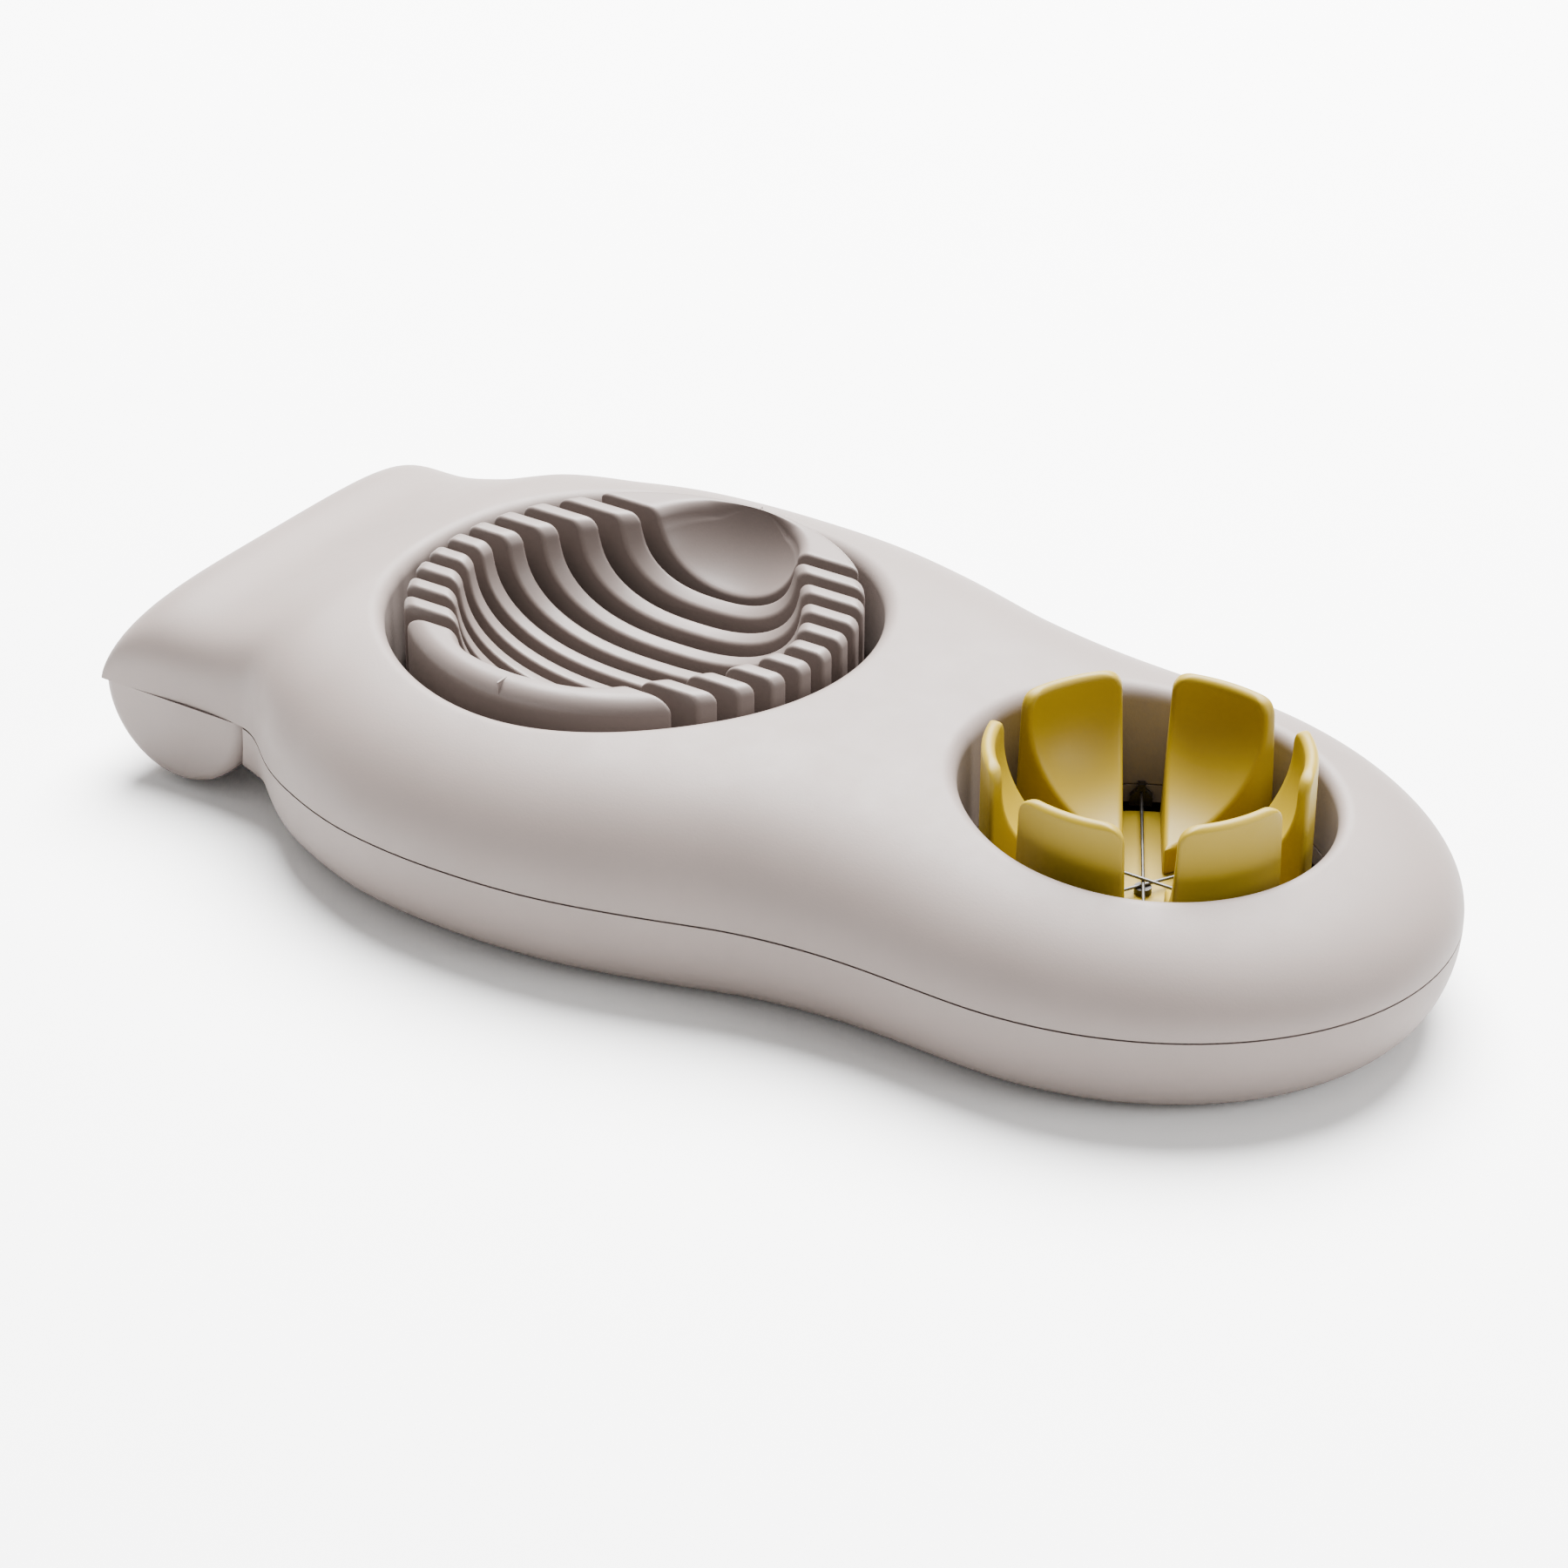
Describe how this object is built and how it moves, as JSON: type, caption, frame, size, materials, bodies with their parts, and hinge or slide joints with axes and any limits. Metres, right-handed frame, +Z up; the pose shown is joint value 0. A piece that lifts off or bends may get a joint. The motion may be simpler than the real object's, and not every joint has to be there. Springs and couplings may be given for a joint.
{
  "type": "egg slicer",
  "caption": "Tabletop egg slicer with a hinged lid carrying cutting wires, a ribbed cradle for slices and a petalled cup for wedges.",
  "frame": {"origin": "bottom centre of the bounding box, on the surface it stands on", "axes": "+X from the hinge towards the nose, +Y to the left seen from the hinge, +Z up"},
  "size_m": [0.212, 0.11, 0.037],
  "materials": {
    "shell_plastic": "satin",
    "cradle_plastic": "satin",
    "cup_plastic": "gloss",
    "steel_wire": "satin",
    "zinc_screw": "satin",
    "dark_plastic": "satin"
  },
  "bodies": {
    "base": {"base_shell": "shell_plastic", "slicer_cradle": "cradle_plastic", "wedge_cup": "cup_plastic", "cradle_screws": "zinc_screw", "cup_screws": "zinc_screw"},
    "lid": {"lid_cover": "shell_plastic", "wire_frame": "shell_plastic", "hinge_pin": "zinc_screw", "lid_screws": "zinc_screw", "slicer_wire_1": "steel_wire", "slicer_wire_2": "steel_wire", "slicer_wire_3": "steel_wire", "slicer_wire_4": "steel_wire", "slicer_wire_5": "steel_wire", "slicer_wire_6": "steel_wire", "slicer_wire_7": "steel_wire", "slicer_wire_8": "steel_wire", "slicer_wire_9": "steel_wire", "slicer_wire_10": "steel_wire", "slicer_wire_pegs": "zinc_screw", "wedge_wire_1": "steel_wire", "wedge_wire_2": "steel_wire", "wedge_wire_3": "steel_wire", "wire_hub": "dark_plastic", "wedge_wire_lugs": "dark_plastic"}
  },
  "joints": [
    {"name": "lid_hinge", "type": "hinge", "parent": "base", "child": "lid", "pos_m": [-0.092, 0, 0.015], "axis": [0, -1, 0], "range_deg": [0, 95]}
  ]
}
